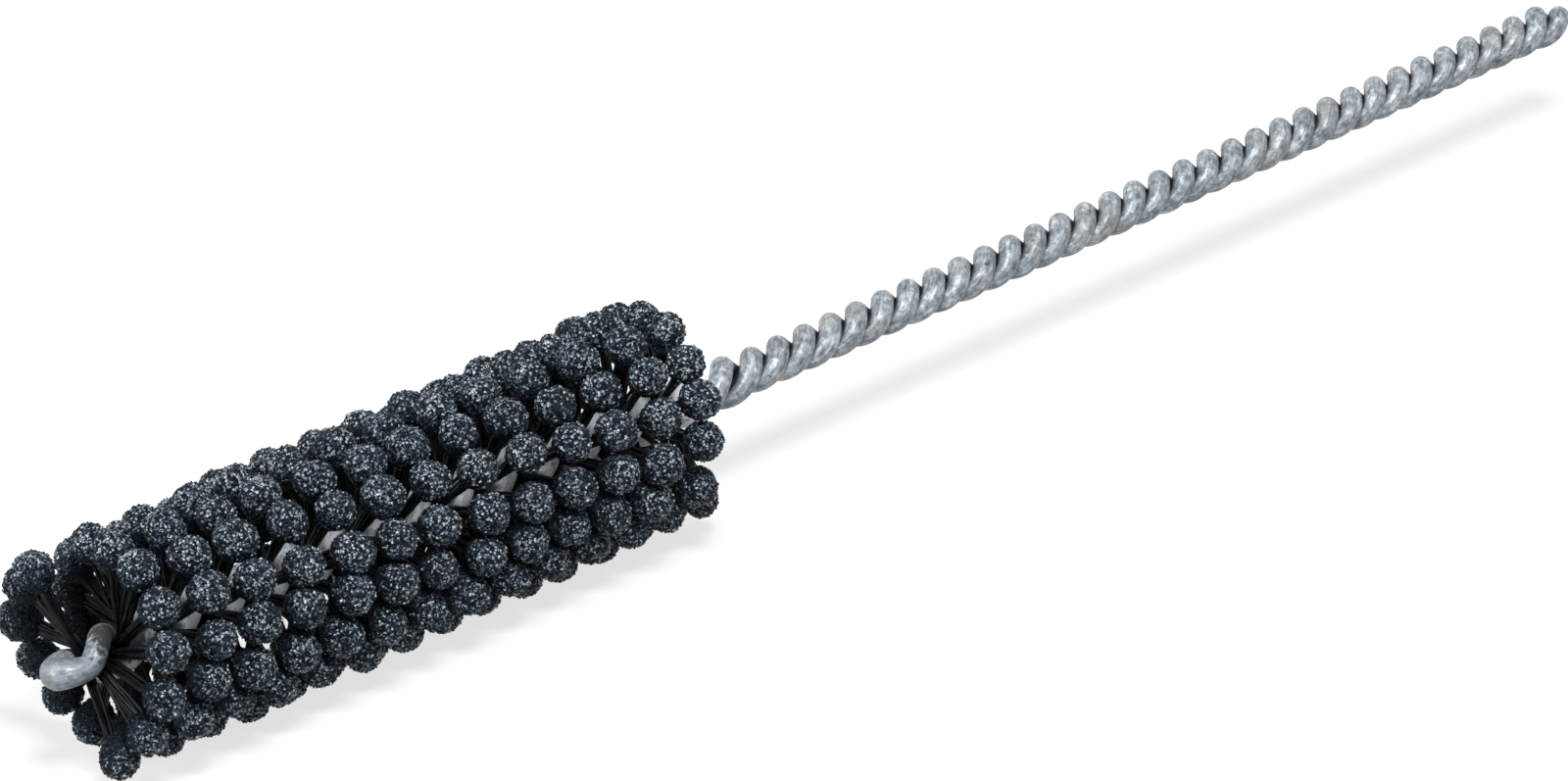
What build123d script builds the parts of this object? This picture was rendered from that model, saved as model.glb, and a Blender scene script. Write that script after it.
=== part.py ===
from build123d import *
from math import ceil, cos, pi, radians, sin
import os

# Flexible ball hone for a 21 mm bore. The tool's axis is X: the origin is the shank end that a drill
# holds, and the brush lies toward -X. One steel wire is folded at the front and its two legs are twisted
# together to the left. Bundles of nylon filament are trapped between the legs, and every bundle carries an
# abrasive globule at each end, so the globules stand in a double left-handed spiral.

# Driving dimensions in millimetres and degrees
overall_length = 200.0
brush_diameter = 21.1
bundle_count = 94
bundle_pitch = 0.7663
bundle_step = 25.19
first_bundle_angle = 57.3
brush_rows = 13

wire_diameter = 2.04
strand_clearance = 0.03
stem_lay = 1.07

globule_clearance = 0.035
potting_depth = 1.35

filament_diameter = 0.35
filaments_abreast = 2
filament_layers = 2
trap_clearance = 0.06

loop_bulge = 1.013
neck_length = 5.2
transition_length = 3.4

# Filament bundle: its filaments lie side by side along the stem and in layers between the two legs
filament_spacing = bundle_pitch / filaments_abreast
filament_clearance = filament_spacing - filament_diameter
bundle_thickness = filament_layers * filament_spacing - filament_clearance
bundle_corner_x = (filaments_abreast - 1) * filament_spacing / 2
bundle_corner_y = (filament_layers - 1) * filament_spacing / 2
bundle_radius = (bundle_corner_x**2 + bundle_corner_y**2) ** 0.5 + filament_diameter / 2

# Globules: as large as they can be side by side round the brush, each centred on its bundle
step_sine = sin(radians(bundle_step / 2))
globule_diameter = (brush_diameter * step_sine - globule_clearance) / (1 + step_sine)
globule_radius = globule_diameter / 2
seat_radius = brush_diameter / 2 - globule_radius
socket_radius = bundle_radius + filament_clearance
socket_floor = seat_radius - globule_radius + potting_depth
filament_reach = socket_floor - filament_clearance

# Twist: wide in the brush, where the bundles hold the legs apart, and closed up in the stem
wire_radius = wire_diameter / 2
brush_pitch = bundle_pitch * 360 / bundle_step
brush_strand_radius = wire_radius + bundle_thickness / 2 + trap_clearance
stem_strand_radius = wire_radius + strand_clearance / 2
stem_pitch = 2 * pi * stem_strand_radius * stem_lay

# Stations along the axis, from the front of the loop to the shank end
loop_apex_x = wire_radius - overall_length
brush_start_x = loop_apex_x + loop_bulge * brush_strand_radius
first_bundle_x = brush_start_x + bundle_pitch / 2
brush_end_x = brush_start_x + bundle_count * bundle_pitch + neck_length
stem_start_x = brush_end_x + transition_length
wire_end_x = -wire_radius


def radial(angle):
    """Unit vector square to the axis at an angle, from +Y toward +Z."""
    return Vector(0, cos(radians(angle)), sin(radians(angle)))


def strand_slope(pitch):
    """Degrees that a left-handed strand turns for each millimetre along the axis."""
    return -360 / pitch


def strand_tangent(radius, pitch, angle):
    """Direction of a strand's centre line, toward the shank."""
    return Vector(1, 0, 0) + radial(angle + 90) * radius * radians(strand_slope(pitch))


def bundle_angle(x):
    """Angle of the bundles' spiral at a station in the brush."""
    return first_bundle_angle + strand_slope(brush_pitch) * (x - first_bundle_x)


def helical_run(start_x, end_x, radius, pitch, start_angle):
    """Left-handed helix about the axis between two stations, as edges of about one turn each."""
    turns = max(1, round((end_x - start_x) / pitch))
    run = (end_x - start_x) / turns
    edges = []
    for turn in range(turns):
        x = start_x + run * turn
        angle = start_angle + strand_slope(pitch) * (x - start_x)
        station = Plane(origin=(x, 0, 0), x_dir=radial(angle), z_dir=(1, 0, 0))
        edges.append(Location(station) * Helix(pitch, run, radius, lefthand=True, mode=Mode.PRIVATE))
    return edges


# Twist transition: the legs close up and the pitch tightens evenly from the brush to the stem
transition_knots = 5
pitch_change = strand_slope(stem_pitch) - strand_slope(brush_pitch)


def transition_angle(share):
    """Angle turned from the brush's end to a share of the transition."""
    return transition_length * share * (strand_slope(brush_pitch) + pitch_change * share / 2)


def transition_point(share, angle):
    """Point of a leg's centre line in the transition."""
    ease = share**2 * (3 - 2 * share)
    radius = brush_strand_radius + (stem_strand_radius - brush_strand_radius) * ease
    x = brush_end_x + transition_length * share
    return Vector(x, 0, 0) + radial(angle + transition_angle(share)) * radius


def leg_edges(side):
    """Centre line of one leg, from the loop to the shank end, at an angle beside the bundles."""
    start_angle = bundle_angle(brush_start_x) + side
    end_angle = bundle_angle(brush_end_x) + side
    stem_angle = end_angle + transition_angle(1)
    shares = [knot / (transition_knots - 1) for knot in range(transition_knots)]
    transition = Spline(
        [transition_point(share, end_angle) for share in shares],
        tangents=[
            strand_tangent(brush_strand_radius, brush_pitch, end_angle),
            strand_tangent(stem_strand_radius, stem_pitch, stem_angle),
        ],
        mode=Mode.PRIVATE,
    )
    brush_run = helical_run(brush_start_x, brush_end_x, brush_strand_radius, brush_pitch, start_angle)
    stem_run = helical_run(stem_start_x, wire_end_x, stem_strand_radius, stem_pitch, stem_angle)
    return [*brush_run, transition, *stem_run]


def loop_edge():
    """Centre line of the fold at the front, from one leg to the other."""
    angles = [bundle_angle(brush_start_x) + side for side in leg_sides]
    ends = [Vector(brush_start_x, 0, 0) + radial(angle) * brush_strand_radius for angle in angles]
    tangents = [strand_tangent(brush_strand_radius, brush_pitch, angle) for angle in angles]
    return Spline(
        ends[0],
        (loop_apex_x, 0, 0),
        ends[1],
        tangents=[-tangents[0], tangents[1]],
        mode=Mode.PRIVATE,
    )


# Stem wire: one wire from shank end to shank end, folded in a tight loop at the front
leg_sides = (90, -90)
leg_runs = [run for side in leg_sides for run in leg_edges(side)]
wire_path = Wire([edge for run in [*leg_runs, loop_edge()] for edge in run.edges()])
with BuildPart() as stem_wire:
    with BuildSketch(Plane(origin=wire_path @ 0, z_dir=wire_path % 0)):
        Circle(wire_radius)
    sweep(path=wire_path)
    with Locations(wire_path @ 0, wire_path @ 1):
        Sphere(wire_radius)
stem_wire.part.label = "stem_wire"


# Abrasive globule: a ball moulded round the end of its bundle, with the bundle's socket toward the stem
with BuildPart() as globule:
    Sphere(globule_radius)
    with Locations((0, 0, -globule_radius)):
        Cylinder(
            socket_radius,
            2 * potting_depth,
            mode=Mode.SUBTRACT,
        )


def row_bundles(row):
    """Numbers of the bundles in one row, which is about half a turn of the brush."""
    return range(ceil(row * bundle_count / brush_rows), ceil((row + 1) * bundle_count / brush_rows))


def bundle_plane(number, side):
    """Plane square to a bundle on the axis, looking out along one of its two ends."""
    x = first_bundle_x + number * bundle_pitch
    return Plane(origin=(x, 0, 0), x_dir=(1, 0, 0), z_dir=radial(bundle_angle(x)) * side)


os.makedirs("parts", exist_ok=True)
export_step(stem_wire.part, "parts/stem_wire.step")

for row in range(brush_rows):
    # Bristle row: half a turn of bundles, each filament running straight through from end to end
    with BuildPart() as bristle_row:
        with Locations([bundle_plane(number, 1) for number in row_bundles(row)]):
            with GridLocations(filament_spacing, filament_spacing, filaments_abreast, filament_layers):
                Cylinder(filament_diameter / 2, 2 * filament_reach)
    bristle_row.part.label = f"bristle_row_{row + 1:02d}"
    export_step(bristle_row.part, f"parts/{bristle_row.part.label}.step")

    # Globule row: the two globules of each bundle in the same half turn
    bundle_ends = [bundle_plane(number, side) for number in row_bundles(row) for side in (1, -1)]
    seats = [bundle_end.offset(seat_radius) for bundle_end in bundle_ends]
    with BuildPart() as globule_row:
        with Locations(seats):
            add(globule.part)
    globule_row.part.label = f"globule_row_{row + 1:02d}"
    export_step(globule_row.part, f"parts/{globule_row.part.label}.step")

print(f"globule {globule_diameter:.2f}, brush pitch {brush_pitch:.2f}, stem pitch {stem_pitch:.2f}, "
      f"wire length {wire_path.length:.0f}, volume {stem_wire.part.volume:.1f}")
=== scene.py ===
import random
from collections import namedtuple
from math import ceil, cos, pi, radians, sin

import bpy
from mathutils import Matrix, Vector


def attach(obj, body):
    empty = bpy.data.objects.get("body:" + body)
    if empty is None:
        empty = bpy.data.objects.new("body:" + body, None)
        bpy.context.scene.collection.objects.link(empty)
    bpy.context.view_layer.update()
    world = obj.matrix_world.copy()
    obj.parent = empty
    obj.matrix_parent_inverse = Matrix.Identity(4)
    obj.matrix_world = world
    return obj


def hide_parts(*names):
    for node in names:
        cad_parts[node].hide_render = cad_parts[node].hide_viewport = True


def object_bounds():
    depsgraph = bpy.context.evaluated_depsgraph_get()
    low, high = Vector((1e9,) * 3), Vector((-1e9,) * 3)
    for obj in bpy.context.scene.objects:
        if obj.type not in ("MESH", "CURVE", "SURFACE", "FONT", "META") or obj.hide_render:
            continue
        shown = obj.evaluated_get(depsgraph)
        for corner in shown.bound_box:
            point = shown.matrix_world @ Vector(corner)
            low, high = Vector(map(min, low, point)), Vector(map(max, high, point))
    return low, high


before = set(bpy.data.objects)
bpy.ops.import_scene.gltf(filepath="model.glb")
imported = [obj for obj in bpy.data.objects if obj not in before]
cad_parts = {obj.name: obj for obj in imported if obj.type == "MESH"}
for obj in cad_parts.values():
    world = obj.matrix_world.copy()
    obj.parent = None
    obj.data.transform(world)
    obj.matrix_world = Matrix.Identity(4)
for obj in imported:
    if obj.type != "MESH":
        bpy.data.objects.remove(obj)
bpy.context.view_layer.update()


# Camera: a long lens above the side of the brush, with the folded front of the tool nearest and
# the shank end just inside the far corner of the picture.
line_of_sight = Vector((0.669131, 0.62116, -0.407951))
camera_data = bpy.data.cameras.new("camera")
camera_data.lens = 235.61
camera_data.sensor_width = 36
camera_data.clip_start = 0.01
camera = bpy.data.objects.new("camera", camera_data)
camera.location = (-0.728632, -0.57375, 0.373466)
camera.rotation_mode = "QUATERNION"
camera.rotation_quaternion = line_of_sight.to_track_quat("-Z", "Y")
bpy.context.scene.collection.objects.link(camera)
bpy.context.scene.camera = camera


# Stem wire: one galvanised steel wire from shank end to shank end. It is folded and pinched flat
# at the front of the brush, and its two legs are twisted together to the left: loosely round the
# bristles, and tightly behind them.
wire_diameter = 0.00209
wire_step = 0.00025
wire_sides = 24

# Stations along the tool's axis, which is X, from the shank end to the front of the brush
shank_end = -0.00102
stem_front = -0.116058
neck_back = -0.119458
brush_front = -0.1975153

# The twist follows the bundles of bristles, which stand in its spiral
bundle_pitch = 0.0007663
bundle_step = 25.19
first_bundle = -0.1971322
first_bundle_angle = 57.3
brush_lay = bundle_pitch * 360 / bundle_step
stem_lay = 0.0069584
brush_leg_radius = 0.0014466
stem_leg_radius = 0.001035

# The fold: how far it runs on from each leg and to each side of its nose before it bends
fold_nose = Vector((-0.20015, 0.0002, -0.0002))
fold_swelling = 0.36
fold_steps = 8
leg_runs = (0.0010, 0.0011)
nose_runs = (0.0009, 0.0007)


def outward(angle):
    """Direction square to the axis at an angle in degrees, from +Y toward +Z."""
    return Vector((0, cos(radians(angle)), sin(radians(angle))))


def closed_up(x):
    """How far the legs have closed up at a station, from 0 in the brush to 1 in the stem."""
    return min(max((x - neck_back) / (stem_front - neck_back), 0), 1)


def twist(x):
    """Angle of the twist at a station along the axis, in degrees."""
    loose = min(x, neck_back) - first_bundle
    closing = closed_up(x)
    tighten = (1 / stem_lay - 1 / brush_lay) * closing / 2 + 1 / brush_lay
    tight = max(x - stem_front, 0)
    turns = loose / brush_lay + closing * (stem_front - neck_back) * tighten + tight / stem_lay
    return first_bundle_angle - 360 * turns


def leg_point(x, side):
    """Middle of one of the wire's two legs at a station."""
    closing = closed_up(x)
    ease = closing * closing * (3 - 2 * closing)
    radius = brush_leg_radius + (stem_leg_radius - brush_leg_radius) * ease
    return Vector((x, 0, 0)) + outward(twist(x) + side) * radius


def fold_points():
    """Middle of the wire in the fold, from one leg to the other, with its share of the thickness."""
    legs = [leg_point(brush_front, side) for side in (90, -90)]
    behind = [leg_point(brush_front + wire_step, side) for side in (90, -90)]
    ahead = [(leg - back).normalized() for leg, back in zip(legs, behind)]
    across = (legs[1] - legs[0]).normalized()
    halves = [
        (legs[0], legs[0] + ahead[0] * leg_runs[0], fold_nose - across * nose_runs[0], fold_nose),
        (fold_nose, fold_nose + across * nose_runs[1], legs[1] + ahead[1] * leg_runs[1], legs[1]),
    ]
    points = []
    for half, (a, b, c, d) in enumerate(halves):
        for step in range(1, fold_steps + 1):
            t = step / fold_steps
            u = 1 - t
            middle = a * u**3 + b * 3 * u * u * t + c * 3 * u * t * t + d * t**3
            near_nose = t if half == 0 else u
            swelling = fold_swelling * near_nose * near_nose * (3 - 2 * near_nose)
            points.append((middle, 1 + swelling))
    return points[:-1]


def wire_line():
    """The wire's middle line, with the share of its thickness at each point: both ends are rounded."""
    count = round((shank_end - brush_front) / wire_step)
    stations = [shank_end + (brush_front - shank_end) * i / count for i in range(count + 1)]
    there = [(leg_point(x, 90), 1.0) for x in stations]
    back = [(leg_point(x, -90), 1.0) for x in reversed(stations)]
    line = there + fold_points() + back
    for end, inner in ((0, 1), (-1, -2)):
        way = (line[end][0] - line[inner][0]).normalized()
        cap = [(line[end][0] + way * wire_diameter / 2 * sin(radians(a)), cos(radians(a)))
               for a in (15, 30, 45, 60, 75, 86)]
        line = cap[::-1] + line if end == 0 else line + cap
    return line


def feed(tree, socket, value):
    """Give an input its value: from another node, from one output of it, or as it stands."""
    if isinstance(value, bpy.types.Node):
        value = next(s for s in value.outputs if s.enabled)
    if isinstance(value, bpy.types.NodeSocket):
        tree.links.new(value, socket)
    else:
        socket.default_value = value


def add(tree, kind, feeds=(), **settings):
    """Add a node, change its settings, and feed its inputs, which go by name or by number."""
    node = tree.nodes.new(kind)
    for name, value in settings.items():
        setattr(node, name, value)
    for key, value in dict(feeds).items():
        if isinstance(key, int):
            socket = node.inputs[key]
        else:
            socket = next(s for s in node.inputs if s.enabled and s.name == key)
        feed(tree, socket, value)
    return node


def calc(tree, operation, a, b=0.0, clamp=False):
    """One step of arithmetic on values that change over the surface."""
    return add(tree, "ShaderNodeMath", {0: a, 1: b}, operation=operation, use_clamp=clamp)


def vector_calc(tree, operation, a, b=None):
    """One step of arithmetic on places or directions."""
    feeds = {0: a}
    if b is not None:
        feeds["Scale" if operation == "SCALE" else 1] = b
    return add(tree, "ShaderNodeVectorMath", feeds, operation=operation)


def noise(tree, place, scale, detail=2.0, roughness=0.5):
    """A cloudy pattern over places."""
    return add(tree, "ShaderNodeTexNoise",
               {"Vector": place, "Scale": scale, "Detail": detail, "Roughness": roughness})


def remap(tree, value, span, levels=(0.0, 1.0), smooth=False):
    """Turn a value's span into a pair of levels, and hold those levels outside it."""
    return add(tree, "ShaderNodeMapRange", {
        "Value": value, "From Min": span[0], "From Max": span[1], "To Min": levels[0], "To Max": levels[1],
    }, interpolation_type="SMOOTHSTEP" if smooth else "LINEAR")


def ramp(tree, value, stops):
    """Colours or greys set out along a value."""
    node = add(tree, "ShaderNodeValToRGB", {"Fac": value})
    elements = node.color_ramp.elements
    while len(elements) < len(stops):
        elements.new(0.5)
    for element, (place, colour) in zip(elements, stops):
        element.position = place
        element.color = colour if isinstance(colour, tuple) else (colour, colour, colour, 1)
    return node


def paint(red, green, blue):
    """Linear colour from the 0 to 255 levels of a colour card."""
    return (*(((c / 255 + 0.055) / 1.055) ** 2.4 if c > 10 else c / 255 / 12.92
              for c in (red, green, blue)), 1.0)


def mix_paint(tree, share, under, over):
    """Lay one colour over another by a share."""
    return add(tree, "ShaderNodeMix", {"Factor": share, "A": under, "B": over}, data_type="RGBA")


def start_material(name):
    """Start a node material, and return it with its tree and its shader."""
    material = bpy.data.materials.new(name)
    material.use_nodes = True
    tree = material.node_tree
    return material, tree, tree.nodes["Principled BSDF"]


def from_axis(tree, where):
    """Distance of the surface from the tool's axis."""
    return vector_calc(tree, "LENGTH", vector_calc(tree, "MULTIPLY", where, (0, 1, 1)))


def start_tree(name, inputs):
    """Start a Geometry Nodes tree with named inputs, and return it with its input and output."""
    tree = bpy.data.node_groups.new(name, "GeometryNodeTree")
    tree.interface.new_socket("Geometry", in_out="INPUT", socket_type="NodeSocketGeometry")
    for title, kind, value in inputs:
        tree.interface.new_socket(title, in_out="INPUT", socket_type=kind).default_value = value
    tree.interface.new_socket("Geometry", in_out="OUTPUT", socket_type="NodeSocketGeometry")
    return tree, add(tree, "NodeGroupInput"), add(tree, "NodeGroupOutput")


def keep(tree, shape, name, value, kind="FLOAT", domain="POINT"):
    """Keep a value on a shape under a name."""
    return add(tree, "GeometryNodeStoreNamedAttribute", {"Geometry": shape, "Name": name, "Value": value},
               data_type=kind, domain=domain)


def kept(tree, name, kind="FLOAT"):
    """Read a value that is kept on the shape."""
    return add(tree, "GeometryNodeInputNamedAttribute", {"Name": name}, data_type=kind)


def smooth_shape(tree, shape, smooth=True):
    """Shade a shape's faces smooth or flat."""
    return add(tree, "GeometryNodeSetShadeSmooth", {"Geometry": shape, "Shade Smooth": smooth})


def end_tree(tree, given, made, shape):
    """End a tree: every copy becomes real, and the whole shape gets its material."""
    shape = add(tree, "GeometryNodeRealizeInstances", {"Geometry": shape})
    shape = add(tree, "GeometryNodeSetMaterial", {"Geometry": shape, "Material": given.outputs["Material"]})
    feed(tree, made.inputs["Geometry"], shape)


def make_piece(name, carrier, tree, **sizes):
    """Run a tree on a carrier mesh and keep the result as a plain mesh piece."""
    source = bpy.data.objects.new(name + "_carrier", carrier)
    bpy.context.scene.collection.objects.link(source)
    modifier = source.modifiers.new("make", "NODES")
    modifier.node_group = tree
    for socket in tree.interface.items_tree:
        if socket.in_out == "INPUT" and socket.name in sizes:
            modifier[socket.identifier] = sizes[socket.name]
    graph = bpy.context.evaluated_depsgraph_get()
    mesh = bpy.data.meshes.new_from_object(source.evaluated_get(graph), depsgraph=graph)
    bpy.data.objects.remove(source)
    mesh.name = name
    piece = bpy.data.objects.new(name, mesh)
    bpy.context.scene.collection.objects.link(piece)
    return piece


# Zinc: a fine mottle with blotches, and streaks that run along the wire as it was drawn
zinc, tree, shader = start_material("galvanised_wire")
base_tone = 0.045
mottle_share = 0.40
streak_share = 0.36
blotch_share = 0.15
where = add(tree, "ShaderNodeTexCoord").outputs["Object"]
drawn = add(tree, "ShaderNodeAttribute", attribute_name="drawn").outputs["Vector"]
streak_place = add(tree, "ShaderNodeMapping", {"Vector": drawn, "Scale": (0.24, 1.0, 1.0)})
mottle = noise(tree, where, scale=1500.0, detail=4.0, roughness=0.65)
blotch = noise(tree, where, scale=420.0)
streak = noise(tree, streak_place, scale=3800.0, detail=3.0, roughness=0.7)
tone = calc(tree, "ADD", calc(tree, "MULTIPLY", mottle, mottle_share),
            calc(tree, "MULTIPLY", streak, streak_share))
tone = calc(tree, "ADD", calc(tree, "ADD", tone, base_tone), calc(tree, "MULTIPLY", blotch, blotch_share))

# Inside the brush the wire's tone is painted brighter, as painted light against the shade there.
# Where the fold was pressed, its tone is more even and darker.
fold_tone = 0.385
fold_evenness = 0.40
along = remap(tree, add(tree, "ShaderNodeSeparateXYZ", {0: where}), (fold_nose.x, neck_back))
# Painted light: the tone is lifted a little at the fold and more inside the brush, against the shade there
painted_brightening = ramp(tree, along, [(0.0, 0.05), (0.02, 0.05), (0.09, 0.10), (0.94, 0.10), (1.0, 0.0)])
tone = calc(tree, "ADD", tone, painted_brightening)
behind_fold = ramp(tree, along, [(0.022, 0.0), (0.046, 1.0)])
pressed = calc(tree, "MULTIPLY", calc(tree, "SUBTRACT", 1.0, behind_fold), fold_evenness)
to_fold_tone = calc(tree, "MULTIPLY", calc(tree, "SUBTRACT", fold_tone, tone), pressed)
tone = calc(tree, "ADD", tone, to_fold_tone)
colour = ramp(tree, tone, [(0.38, paint(78, 86, 94)), (0.46, paint(128, 137, 145)),
                           (0.53, paint(171, 179, 186)), (0.60, paint(226, 231, 236))])

# Painted shade darkens the crease between the legs, behind the fold. Dirt: dark in small pits, and as
# soot on the fold's upper end, with a faint warm tarnish under it
crease_shade_depth = 0.93
pit_dirt = 0.75
pit_raggedness = 0.3
soot_dirt = 0.94
soot_middle = (-0.1943, -0.0020, 0.0028)
soot_raggedness = 0.0042
soot_roughness = 0.85
# Painted shade: darker near the axis, in the crease between the two legs
crease_shade = remap(tree, from_axis(tree, where), (0.00092, 0.00142), (1.0, 0.0), smooth=True)
crease_shade = calc(tree, "MULTIPLY", crease_shade, behind_fold)
pit_spots = add(tree, "ShaderNodeTexVoronoi", {"Vector": where, "Scale": 430.0}).outputs["Distance"]
pit_spots = calc(tree, "ADD", pit_spots, calc(tree, "MULTIPLY", mottle, pit_raggedness))
pits = remap(tree, pit_spots, (0.19, 0.25), (1.0, 0.0))
soot_reach = vector_calc(tree, "DISTANCE", where, soot_middle)
soot_reach = calc(tree, "ADD", soot_reach, calc(tree, "MULTIPLY", mottle, soot_raggedness))
soot = remap(tree, soot_reach, (0.0046, 0.0063), (1.0, 0.0))
# The pits and soot (dirt) and the painted crease shade share one dark colour
dirt_and_shade = calc(tree, "MAXIMUM", calc(tree, "MULTIPLY", pits, pit_dirt),
            calc(tree, "MULTIPLY", soot, soot_dirt))
dirt_and_shade = calc(tree, "MAXIMUM", calc(tree, "MULTIPLY", crease_shade, crease_shade_depth), dirt_and_shade)
tarnish = remap(tree, noise(tree, where, scale=260.0, detail=1.0), (0.50, 0.72), (0.0, 0.28))
colour = mix_paint(tree, tarnish, colour, paint(178, 170, 158))
colour = mix_paint(tree, dirt_and_shade, colour, paint(22, 24, 28))
rough = remap(tree, tone, (0.35, 0.7), (0.48, 0.30))
rough = calc(tree, "MAXIMUM", rough, calc(tree, "MULTIPLY", soot, soot_roughness))
mottle_height = 0.8
pit_height = 0.4
height = calc(tree, "ADD", calc(tree, "MULTIPLY", mottle, mottle_height), streak)
height = calc(tree, "SUBTRACT", height, calc(tree, "MULTIPLY", pits, pit_height))
bump = add(tree, "ShaderNodeBump", {"Height": height, "Distance": 0.000045, "Strength": 1.0})
feed(tree, shader.inputs["Base Color"], colour)
feed(tree, shader.inputs["Roughness"], rough)
feed(tree, shader.inputs["Normal"], bump)
shader.inputs["Metallic"].default_value = 0.22

# Tube: a ring swept along the wire's line and dented a little. Each point keeps its place on the
# wire as it was drawn, straight, which the streaks follow.
tree, given, made = start_tree("twisted wire", [
    ("Thickness", "NodeSocketFloat", wire_diameter),
    ("Dent Depth", "NodeSocketFloat", 0.00009),
    ("Material", "NodeSocketMaterial", zinc),
])
place = add(tree, "GeometryNodeInputPosition")
line = add(tree, "GeometryNodeMeshToCurve", {"Mesh": given.outputs["Geometry"]})
line = keep(tree, line, "run", add(tree, "GeometryNodeSplineParameter").outputs["Length"])
ring = add(tree, "GeometryNodeCurvePrimitiveCircle",
           {"Resolution": wire_sides, "Radius": calc(tree, "MULTIPLY", given.outputs["Thickness"], 0.5)},
           mode="RADIUS")
ring = keep(tree, ring, "round", place, kind="FLOAT_VECTOR")
tube = add(tree, "GeometryNodeCurveToMesh",
           {"Curve": line, "Profile Curve": ring, "Scale": kept(tree, "thick"), "Fill Caps": True})
around = add(tree, "ShaderNodeSeparateXYZ", {0: kept(tree, "round", kind="FLOAT_VECTOR")})
straight = add(tree, "ShaderNodeCombineXYZ",
               {0: kept(tree, "run"), 1: around.outputs[0], 2: around.outputs[1]})
tube = keep(tree, tube, "drawn", straight, kind="FLOAT_VECTOR")
dents = calc(tree, "SUBTRACT", noise(tree, place, scale=420.0), 0.5)
depth = calc(tree, "MULTIPLY", dents, given.outputs["Dent Depth"])
dented = vector_calc(tree, "SCALE", add(tree, "GeometryNodeInputNormal"), depth)
tube = add(tree, "GeometryNodeSetPosition", {"Geometry": tube, "Offset": dented})
end_tree(tree, given, made, smooth_shape(tree, tube))

line_points = wire_line()
carrier = bpy.data.meshes.new("stem_wire_line")
carrier.from_pydata([point for point, _ in line_points],
                    [(i, i + 1) for i in range(len(line_points) - 1)], [])
thick = carrier.attributes.new("thick", "FLOAT", "POINT")
thick.data.foreach_set("value", [share for _, share in line_points])
stem_wire = make_piece("twisted_stem_wire", carrier, tree)
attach(stem_wire, "root")
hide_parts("stem_wire")


# Abrasive globules: balls of silicon carbide grit in resin, moulded round the end of each bundle.
# Each is a little out of round, drawn out toward its bristles, and covered in sharp grains, of
# which the largest stand out of the resin as loose blocks.
globule_radius = 0.00182
size_spread = 0.05
seat_radius = 0.008676
bundle_count = 94
brush_rows = 13
chance = random.Random(27)

# How the globules stand off their true places. All are scattered a little and lean forward and up,
# the front ones splay apart on the side away from the camera, and the rear ones are smaller.
seat_spread = 0.00012
forward_spread = 0.00014
forward_lean = 0.0004
upward_lean = 0.00013
front_splay = 0.0002
splay_outward = 0.5
splayed_bundles = 9
unsplayed_side = 147
rear_start = 86
rear_bundles = 7
rear_lean = 0.0004
rear_shrink = 0.11

# Globules near the two ends that stand further out of line: bundle and side, and how far it is off
strays = {
    (0, 0): (-0.0006, 0, 0), (2, 0): (0.0001, 0, -0.0003), (3, 0): (0.0005, -0.0005, -0.0005),
    (4, 0): (0.0003, -0.0004, -0.0003), (5, 0): (0.0005, -0.0001, 0),
    (9, 180): (0.0003, 0, -0.0002), (10, 180): (0.0003, 0, 0.0004), (87, 180): (0.0006, 0, 0),
    (88, 180): (-0.0003, 0, 0.0008), (89, 180): (-0.0004, 0, 0.0008), (90, 180): (-0.0011, 0, 0.0007),
}

# Grit effect: grains and finer specks, each with its own tone and tilt, and dark gaps between them
grit_effect = bpy.data.node_groups.new("grit", "ShaderNodeTree")
for title, kind, way in (
    ("Place", "NodeSocketVector", "INPUT"), ("Grains per Metre", "NodeSocketFloat", "INPUT"),
    ("Grain Tone", "NodeSocketFloat", "OUTPUT"), ("Gaps", "NodeSocketFloat", "OUTPUT"),
    ("Facets", "NodeSocketVector", "OUTPUT"), ("Height", "NodeSocketFloat", "OUTPUT"),
):
    grit_effect.interface.new_socket(title, in_out=way, socket_type=kind)
tree = grit_effect
given = add(tree, "NodeGroupInput")
made = add(tree, "NodeGroupOutput")
per_metre = given.outputs["Grains per Metre"]
middle_grey = (0.5, 0.5, 0.5)
drifts_per_grain = 0.6
drift_length = 1.1
specks_per_grain = 2.3
grain_part = 0.62
speck_part = 0.38
grain_tilt_share = 1.3
speck_tilt_share = 0.7
tone_height = 0.6
gap_depth = 1.4
drift = noise(tree, given.outputs["Place"], scale=calc(tree, "MULTIPLY", per_metre, drifts_per_grain))
drift = vector_calc(tree, "SUBTRACT", drift.outputs["Color"], middle_grey)
drift = vector_calc(tree, "SCALE", drift, calc(tree, "DIVIDE", drift_length, per_metre))
spot = vector_calc(tree, "ADD", given.outputs["Place"], drift)
grains = add(tree, "ShaderNodeTexVoronoi", {"Vector": spot, "Scale": per_metre})
specks = add(tree, "ShaderNodeTexVoronoi",
             {"Vector": spot, "Scale": calc(tree, "MULTIPLY", per_metre, specks_per_grain)})
grain_shade = add(tree, "ShaderNodeSeparateColor", {0: grains.outputs["Color"]})
speck_shade = add(tree, "ShaderNodeSeparateColor", {0: specks.outputs["Color"]})
tone = calc(tree, "ADD", calc(tree, "MULTIPLY", grain_shade, grain_part),
            calc(tree, "MULTIPLY", speck_shade, speck_part))
gaps = remap(tree, grains.outputs["Distance"], (0.42, 0.75), smooth=True)
grain_tilt = vector_calc(tree, "SUBTRACT", grains.outputs["Color"], middle_grey)
speck_tilt = vector_calc(tree, "SUBTRACT", specks.outputs["Color"], middle_grey)
tilt = vector_calc(tree, "ADD", vector_calc(tree, "SCALE", grain_tilt, grain_tilt_share),
                   vector_calc(tree, "SCALE", speck_tilt, speck_tilt_share))
facing = add(tree, "ShaderNodeNewGeometry").outputs["Normal"]
facets = vector_calc(tree, "NORMALIZE", vector_calc(tree, "ADD", facing, tilt))
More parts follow.
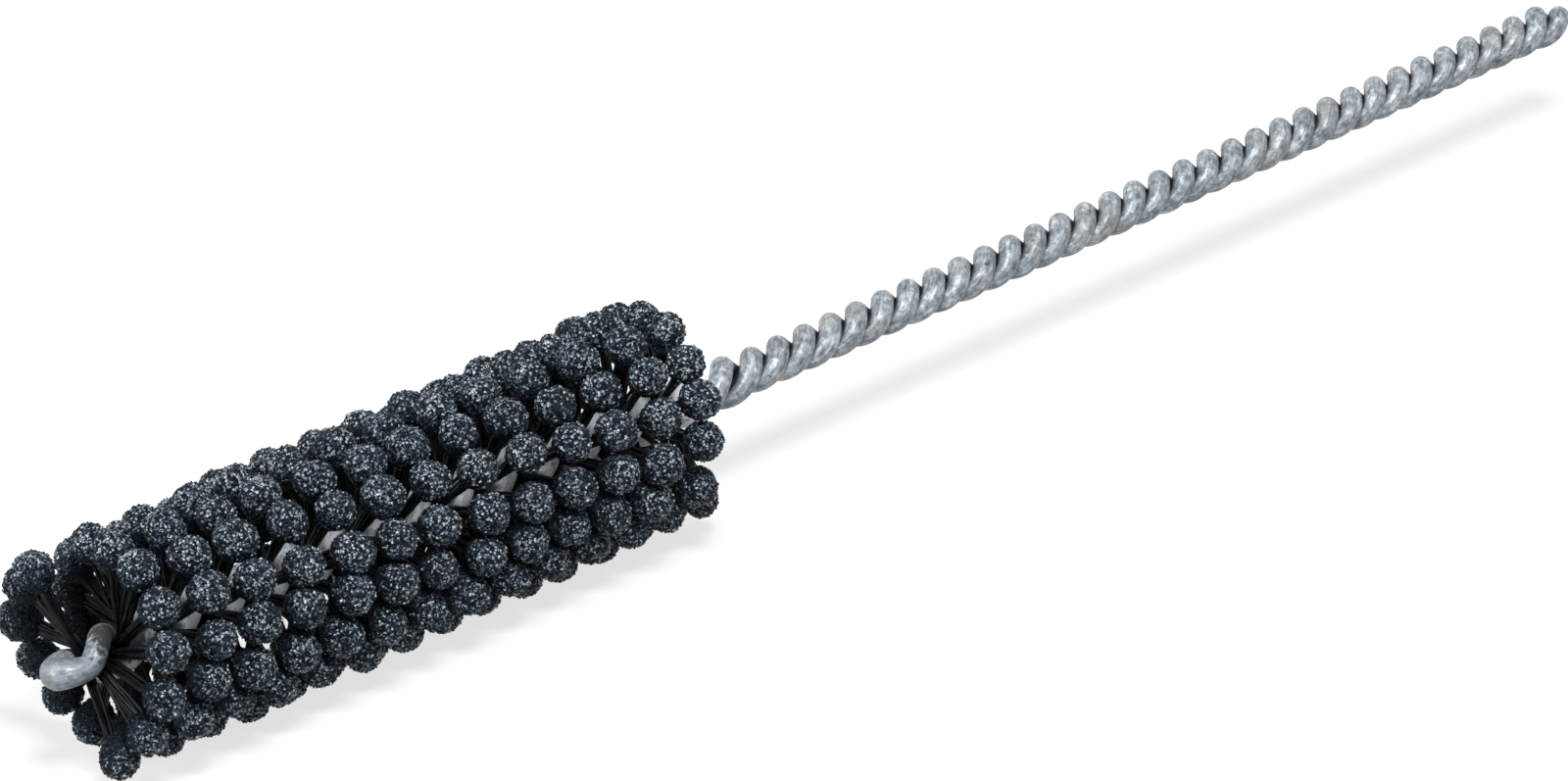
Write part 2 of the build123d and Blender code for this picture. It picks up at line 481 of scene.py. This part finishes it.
height = calc(tree, "SUBTRACT", calc(tree, "MULTIPLY", tone, tone_height),
              calc(tree, "MULTIPLY", grains.outputs["Distance"], gap_depth))
for title, value in (("Grain Tone", tone), ("Gaps", gaps), ("Facets", facets), ("Height", height)):
    feed(tree, made.inputs[title], value)

# Grit: blue-black resin with grains from dark grey to white; the brightest, near white, are painted
# glints. Each block that stands out has a tone of its own, and all of it darkens toward the inside
# of the brush as painted shade.
grit, tree, shader = start_material("abrasive_grit")
where = add(tree, "ShaderNodeTexCoord").outputs["Object"]
stone_plainness = 0.6
stone_tone = 0.66
deepest_shade = 0.55
unshaded_from = seat_radius + 0.0006
effect = add(tree, "ShaderNodeGroup", {"Place": where, "Grains per Metre": 4200.0}, node_tree=grit_effect)
stone = add(tree, "ShaderNodeAttribute", attribute_name="stone").outputs["Fac"]
is_stone = calc(tree, "CEIL", stone)
grain_share = calc(tree, "SUBTRACT", 1.0, calc(tree, "MULTIPLY", is_stone, stone_plainness))
tone = calc(tree, "ADD", calc(tree, "MULTIPLY", effect.outputs["Grain Tone"], grain_share),
            calc(tree, "MULTIPLY", stone, stone_tone))
depth_shade = remap(tree, from_axis(tree, where),
                    (seat_radius - globule_radius, unshaded_from), (deepest_shade, 1.0))
tone = calc(tree, "MULTIPLY", tone, depth_shade)
# Painted glints: the top of the ramp, near white, stands in for grains that catch the light
colour = ramp(tree, tone, [
    (0.0, paint(12, 15, 19)), (0.34, paint(35, 42, 51)), (0.52, paint(62, 75, 89)),
    (0.62, paint(104, 124, 142)), (0.70, paint(184, 206, 224)), (0.77, paint(246, 252, 255))])
gaps = calc(tree, "MULTIPLY", effect.outputs["Gaps"], calc(tree, "SUBTRACT", 1.0, is_stone))
colour = mix_paint(tree, gaps, colour, paint(18, 22, 27))
rough = remap(tree, tone, (0.0, 1.0), (0.55, 0.18))
bump = add(tree, "ShaderNodeBump",
           {"Height": effect.outputs["Height"], "Normal": effect.outputs["Facets"],
            "Distance": 0.0001, "Strength": 0.8})
feed(tree, shader.inputs["Base Color"], colour)
feed(tree, shader.inputs["Roughness"], rough)
feed(tree, shader.inputs["Normal"], bump)
shader.inputs["Specular IOR Level"].default_value = 0.07

# Ball: turned and stretched by chance at each seat, then pushed out into lumps and grains, with a
# neck drawn out along its bristles
tree, given, made = start_tree("abrasive globules", [
    ("Radius", "NodeSocketFloat", globule_radius),
    ("Lump Height", "NodeSocketFloat", 0.00040),
    ("Grain Height", "NodeSocketFloat", 0.00030),
    ("Neck Length", "NodeSocketFloat", 0.0005),
    ("Stone Size", "NodeSocketFloat", 0.00018),
    ("Stones per Square Metre", "NodeSocketFloat", 6500000.0),
    ("Seed", "NodeSocketInt", 3),
    ("Material", "NodeSocketMaterial", grit),
])


def draw(tree, given, extra, low, high, kind="FLOAT_VECTOR"):
    """A random value for each copy between two limits, from the tree's seed with something added."""
    seed = calc(tree, "ADD", given.outputs["Seed"], extra)
    return add(tree, "FunctionNodeRandomValue", {"Min": low, "Max": high, "Seed": seed}, data_type=kind)


ball = add(tree, "GeometryNodeMeshIcoSphere", {"Radius": given.outputs["Radius"], "Subdivisions": 4})
full_turn = (2 * pi,) * 3
spin = draw(tree, given, 0, (0, 0, 0), full_turn)
stretch = draw(tree, given, 5, (0.95,) * 3, (1.05,) * 3)
stretch = vector_calc(tree, "SCALE", stretch, kept(tree, "size"))
balls = add(tree, "GeometryNodeInstanceOnPoints",
            {"Points": given.outputs["Geometry"], "Instance": ball, "Rotation": spin, "Scale": stretch})
balls = add(tree, "GeometryNodeRealizeInstances", {"Geometry": balls})
place = add(tree, "GeometryNodeInputPosition")
normal = add(tree, "GeometryNodeInputNormal")
lumps = calc(tree, "SUBTRACT", noise(tree, place, scale=560.0, detail=1.0), 0.5)
grains = calc(tree, "SUBTRACT", noise(tree, place, scale=1900.0), 0.5)
rise = calc(tree, "ADD", calc(tree, "MULTIPLY", lumps, given.outputs["Lump Height"]),
            calc(tree, "MULTIPLY", grains, given.outputs["Grain Height"]))
way_out = kept(tree, "way", kind="FLOAT_VECTOR")
inward = calc(tree, "MULTIPLY", vector_calc(tree, "DOT_PRODUCT", normal, way_out), -1.0)
neck_sharpness = 5.0
neck = calc(tree, "POWER", calc(tree, "MAXIMUM", inward, 0.0), neck_sharpness)
neck = calc(tree, "MULTIPLY", neck, given.outputs["Neck Length"])
offset = vector_calc(tree, "SUBTRACT", vector_calc(tree, "SCALE", normal, rise),
                     vector_calc(tree, "SCALE", way_out, neck))
balls = add(tree, "GeometryNodeSetPosition", {"Geometry": balls, "Offset": offset})
balls = smooth_shape(tree, balls)

# Stones: sharp blocks of mixed sizes, scattered over the ball and half sunk in it
per_area = given.outputs["Stones per Square Metre"]
beds = add(tree, "GeometryNodeDistributePointsOnFaces",
           {"Mesh": balls, "Density": per_area, "Seed": given.outputs["Seed"]})
block = add(tree, "GeometryNodeMeshCube", {"Size": (1, 1, 1)})
block = smooth_shape(tree, block, smooth=False)
cut = draw(tree, given, 8, (0.45,) * 3, (1.25,) * 3)
cut = vector_calc(tree, "SCALE", cut, given.outputs["Stone Size"])
roll = draw(tree, given, 9, (0, 0, 0), full_turn)
stones = add(tree, "GeometryNodeInstanceOnPoints",
             {"Points": beds, "Instance": block, "Rotation": roll, "Scale": cut})
# Each block's own tone; the brightest blocks are painted glints
tone_and_glint = calc(tree, "POWER", draw(tree, given, 10, 0.1, 1.0, kind="FLOAT"), 2.0)
stones = keep(tree, stones, "stone", tone_and_glint, domain="INSTANCE")
stones = add(tree, "GeometryNodeRealizeInstances", {"Geometry": stones})
whole = add(tree, "GeometryNodeJoinGeometry")
feed(tree, whole.inputs["Geometry"], stones)
feed(tree, whole.inputs["Geometry"], balls)
end_tree(tree, given, made, whole)

# Seats: two for each bundle, one at each end of its filaments
BundleEnd = namedtuple("BundleEnd", "root seat way size")
rows = []
for row in range(brush_rows):
    first, after = (ceil(edge * bundle_count / brush_rows) for edge in (row, row + 1))
    ends = []
    for number in range(first, after):
        x = first_bundle + number * bundle_pitch
        root = Vector((x, 0, 0))
        tail = max(number - rear_start, 0) / rear_bundles
        for side in (0, 180):
            way = outward(twist(x) + side)
            across = Vector((1, 0, 0)).cross(way)
            seat = root + way * (seat_radius + chance.gauss(0, seat_spread))
            seat += across * chance.gauss(0, seat_spread) + Vector(
                (chance.gauss(0, forward_spread) - forward_lean, 0, upward_lean))
            turned_away = 1 - way.dot(outward(unsplayed_side))
            splay = front_splay * turned_away * max(1 - number / splayed_bundles, 0)
            seat += way * splay * splay_outward - Vector((splay, 0, 0))
            seat.x -= tail * rear_lean
            seat += Vector(strays.get((number, side), (0, 0, 0)))
            size = chance.uniform(1 - size_spread, 1 + size_spread) * (1 - rear_shrink * tail)
            ends.append(BundleEnd(root, seat, way, size))
    rows.append(ends)

for row, ends in enumerate(rows):
    carrier = bpy.data.meshes.new("globule_seats")
    carrier.from_pydata([end.seat for end in ends], [], [])
    sizes = carrier.attributes.new("size", "FLOAT", "POINT")
    sizes.data.foreach_set("value", [end.size for end in ends])
    ways = carrier.attributes.new("way", "FLOAT_VECTOR", "POINT")
    ways.data.foreach_set("vector", [c for end in ends for c in end.way])
    globules = make_piece(f"abrasive_globules_{row + 1:02d}", carrier, tree, Seed=row + 3)
    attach(globules, "root")
    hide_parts(f"globule_row_{row + 1:02d}")


# Bristle rows: black nylon filaments, cut to length and caught between the two legs of the wire.
# They leave the wire side by side, fan out, and end inside their globule.
filament_thickness = 0.00034
filaments_per_bundle = 14
root_offset = 0.0004

nylon, tree, shader = start_material("nylon_filament")
where = add(tree, "ShaderNodeTexCoord").outputs["Object"]
haze = noise(tree, where, scale=700.0, detail=3.0)
colour = ramp(tree, haze, [(0.4, paint(3, 3, 4)), (0.64, paint(18, 20, 24))])
rough = remap(tree, haze, (0.0, 1.0), (0.14, 0.38))
bump = add(tree, "ShaderNodeBump", {"Height": haze, "Distance": 0.00003, "Strength": 0.5})
feed(tree, shader.inputs["Base Color"], colour)
feed(tree, shader.inputs["Roughness"], rough)
feed(tree, shader.inputs["Normal"], bump)
shader.inputs["Specular IOR Level"].default_value = 0.15

# Filaments: each bundle end is copied once for each filament, and a rod is laid from the copy's
# root to a point inside the globule, and bowed
tree, given, made = start_tree("nylon bristles", [
    ("Thickness", "NodeSocketFloat", filament_thickness),
    ("Count", "NodeSocketInt", filaments_per_bundle),
    ("Root Spread", "NodeSocketVector", (0.0004, 0.0003, 0.0003)),
    ("Tip Spread", "NodeSocketFloat", 0.00056),
    ("Bow", "NodeSocketFloat", 0.0003),
    ("Seed", "NodeSocketInt", 11),
    ("Material", "NodeSocketMaterial", nylon),
])
place = add(tree, "GeometryNodeInputPosition")
copies = add(tree, "GeometryNodeDuplicateElements",
             {"Geometry": given.outputs["Geometry"], "Amount": given.outputs["Count"]}, domain="POINT")
root_scatter, tip_scatter, bow_scatter = (draw(tree, given, extra, (-1, -1, -1), (1, 1, 1))
                                          for extra in (1, 2, 3))
root_scatter = vector_calc(tree, "MULTIPLY", root_scatter, given.outputs["Root Spread"])
tip_scatter = vector_calc(tree, "SCALE", tip_scatter, given.outputs["Tip Spread"])
bow_scatter = vector_calc(tree, "SCALE", bow_scatter, given.outputs["Bow"])
root = vector_calc(tree, "ADD", place, root_scatter)
tip = vector_calc(tree, "ADD", kept(tree, "seat", kind="FLOAT_VECTOR"), tip_scatter)
copies = keep(tree, copies, "reach", vector_calc(tree, "SUBTRACT", tip, root), kind="FLOAT_VECTOR")
copies = keep(tree, copies, "bow", bow_scatter, kind="FLOAT_VECTOR")
copies = add(tree, "GeometryNodeSetPosition", {"Geometry": copies, "Position": root})
rod = add(tree, "GeometryNodeMeshCylinder",
          {"Vertices": 6, "Side Segments": 4, "Radius": 0.5, "Depth": 1.0})
share = calc(tree, "ADD", add(tree, "ShaderNodeSeparateXYZ", {0: place}).outputs[2], 0.5)
rod = keep(tree, rod, "share", share)
rod = add(tree, "GeometryNodeTransform", {"Geometry": rod, "Translation": (0, 0, 0.5)})
reach = kept(tree, "reach", kind="FLOAT_VECTOR")
thickness = given.outputs["Thickness"]
length = vector_calc(tree, "LENGTH", reach)
scale = add(tree, "ShaderNodeCombineXYZ", {0: thickness, 1: thickness, 2: length})
turn = add(tree, "FunctionNodeAlignRotationToVector", {"Vector": reach}, axis="Z")
rods = add(tree, "GeometryNodeInstanceOnPoints",
           {"Points": copies, "Instance": rod, "Rotation": turn, "Scale": scale})
rods = add(tree, "GeometryNodeRealizeInstances", {"Geometry": rods})

# Bow: an arch over each rod, from 0 at its two ends to 1 in its middle
share = kept(tree, "share")
arch = calc(tree, "MULTIPLY", share, calc(tree, "SUBTRACT", 1.0, share))
arch = calc(tree, "MULTIPLY", arch, 4.0)
bowed = vector_calc(tree, "SCALE", kept(tree, "bow", kind="FLOAT_VECTOR"), arch)
rods = add(tree, "GeometryNodeSetPosition", {"Geometry": rods, "Offset": bowed})
end_tree(tree, given, made, smooth_shape(tree, rods))

for row, ends in enumerate(rows):
    carrier = bpy.data.meshes.new("bristle_roots")
    carrier.from_pydata([end.root + end.way * root_offset for end in ends], [], [])
    seats = carrier.attributes.new("seat", "FLOAT_VECTOR", "POINT")
    seats.data.foreach_set("vector", [c for end in ends for c in end.seat])
    bristles = make_piece(f"nylon_bristles_{row + 1:02d}", carrier, tree, Seed=row * 10 + 11)
    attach(bristles, "root")
    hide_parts(f"bristle_row_{row + 1:02d}")


# Floor: a plain white sheet that the lowest globules rest on. It shows white to the camera and
# in the metal, and keeps the tool's shadow.
floor_size = 4.0
floor_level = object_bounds()[0][2]
floor_shown = 0.72


def seen_rays(tree):
    """1 for what the camera and the metal see, and 0 for the light that falls on the tool."""
    ray = add(tree, "ShaderNodeLightPath")
    mirrored = calc(tree, "ADD", ray.outputs["Is Glossy Ray"], ray.outputs["Is Transmission Ray"])
    return calc(tree, "ADD", ray.outputs["Is Camera Ray"], mirrored, clamp=True)


floor_mesh = bpy.data.meshes.new("floor")
half = floor_size / 2
corners = [(x, y, floor_level) for x, y in ((-half, -half), (half, -half), (half, half), (-half, half))]
floor_mesh.from_pydata(corners, [], [(0, 1, 2, 3)])
floor = bpy.data.objects.new("floor", floor_mesh)
bpy.context.scene.collection.objects.link(floor)
paper, tree, shader = start_material("floor_paper")
fibre = noise(tree, add(tree, "ShaderNodeTexCoord").outputs["Object"], scale=40.0)
feed(tree, shader.inputs["Base Color"], ramp(tree, fibre, [(0.3, 0.36), (0.7, 0.38)]))
feed(tree, shader.inputs["Emission Strength"], calc(tree, "MULTIPLY", seen_rays(tree), floor_shown))
shader.inputs["Emission Color"].default_value = (1, 1, 1, 1)
shader.inputs["Roughness"].default_value = 0.9
shader.inputs["Specular IOR Level"].default_value = 0.0
floor_mesh.materials.append(paper)


# Studio light: an even white tent round the tool, one soft lamp high above the camera, and a
# weaker and larger one off the folded end, to its left.
tent_light = 0.20
tent_shown = 0.80
world = bpy.data.worlds.new("studio")
world.use_nodes = True
bpy.context.scene.world = world
tree = world.node_tree
background = tree.nodes["Background"]
background.inputs["Color"].default_value = (1, 1, 1, 1)
strength = calc(tree, "ADD", calc(tree, "MULTIPLY", seen_rays(tree), tent_shown), tent_light)
feed(tree, background.inputs["Strength"], strength)

tool_middle = Vector((-0.1, 0, 0))
for name, place, size, power in (
    ("main lamp", (-0.42, -0.44, 0.95), 0.32, 8.8),
    ("side lamp", (-0.95, 0.10, 0.35), 0.5, 3.0),
):
    lamp_data = bpy.data.lights.new(name, "AREA")
    lamp_data.size = size
    lamp_data.energy = power
    lamp = bpy.data.objects.new(name, lamp_data)
    lamp.location = place
    lamp.rotation_mode = "QUATERNION"
    lamp.rotation_quaternion = (tool_middle - Vector(place)).to_track_quat("-Z", "Y")
    bpy.context.scene.collection.objects.link(lamp)

bpy.context.scene.view_settings.view_transform = "Standard"
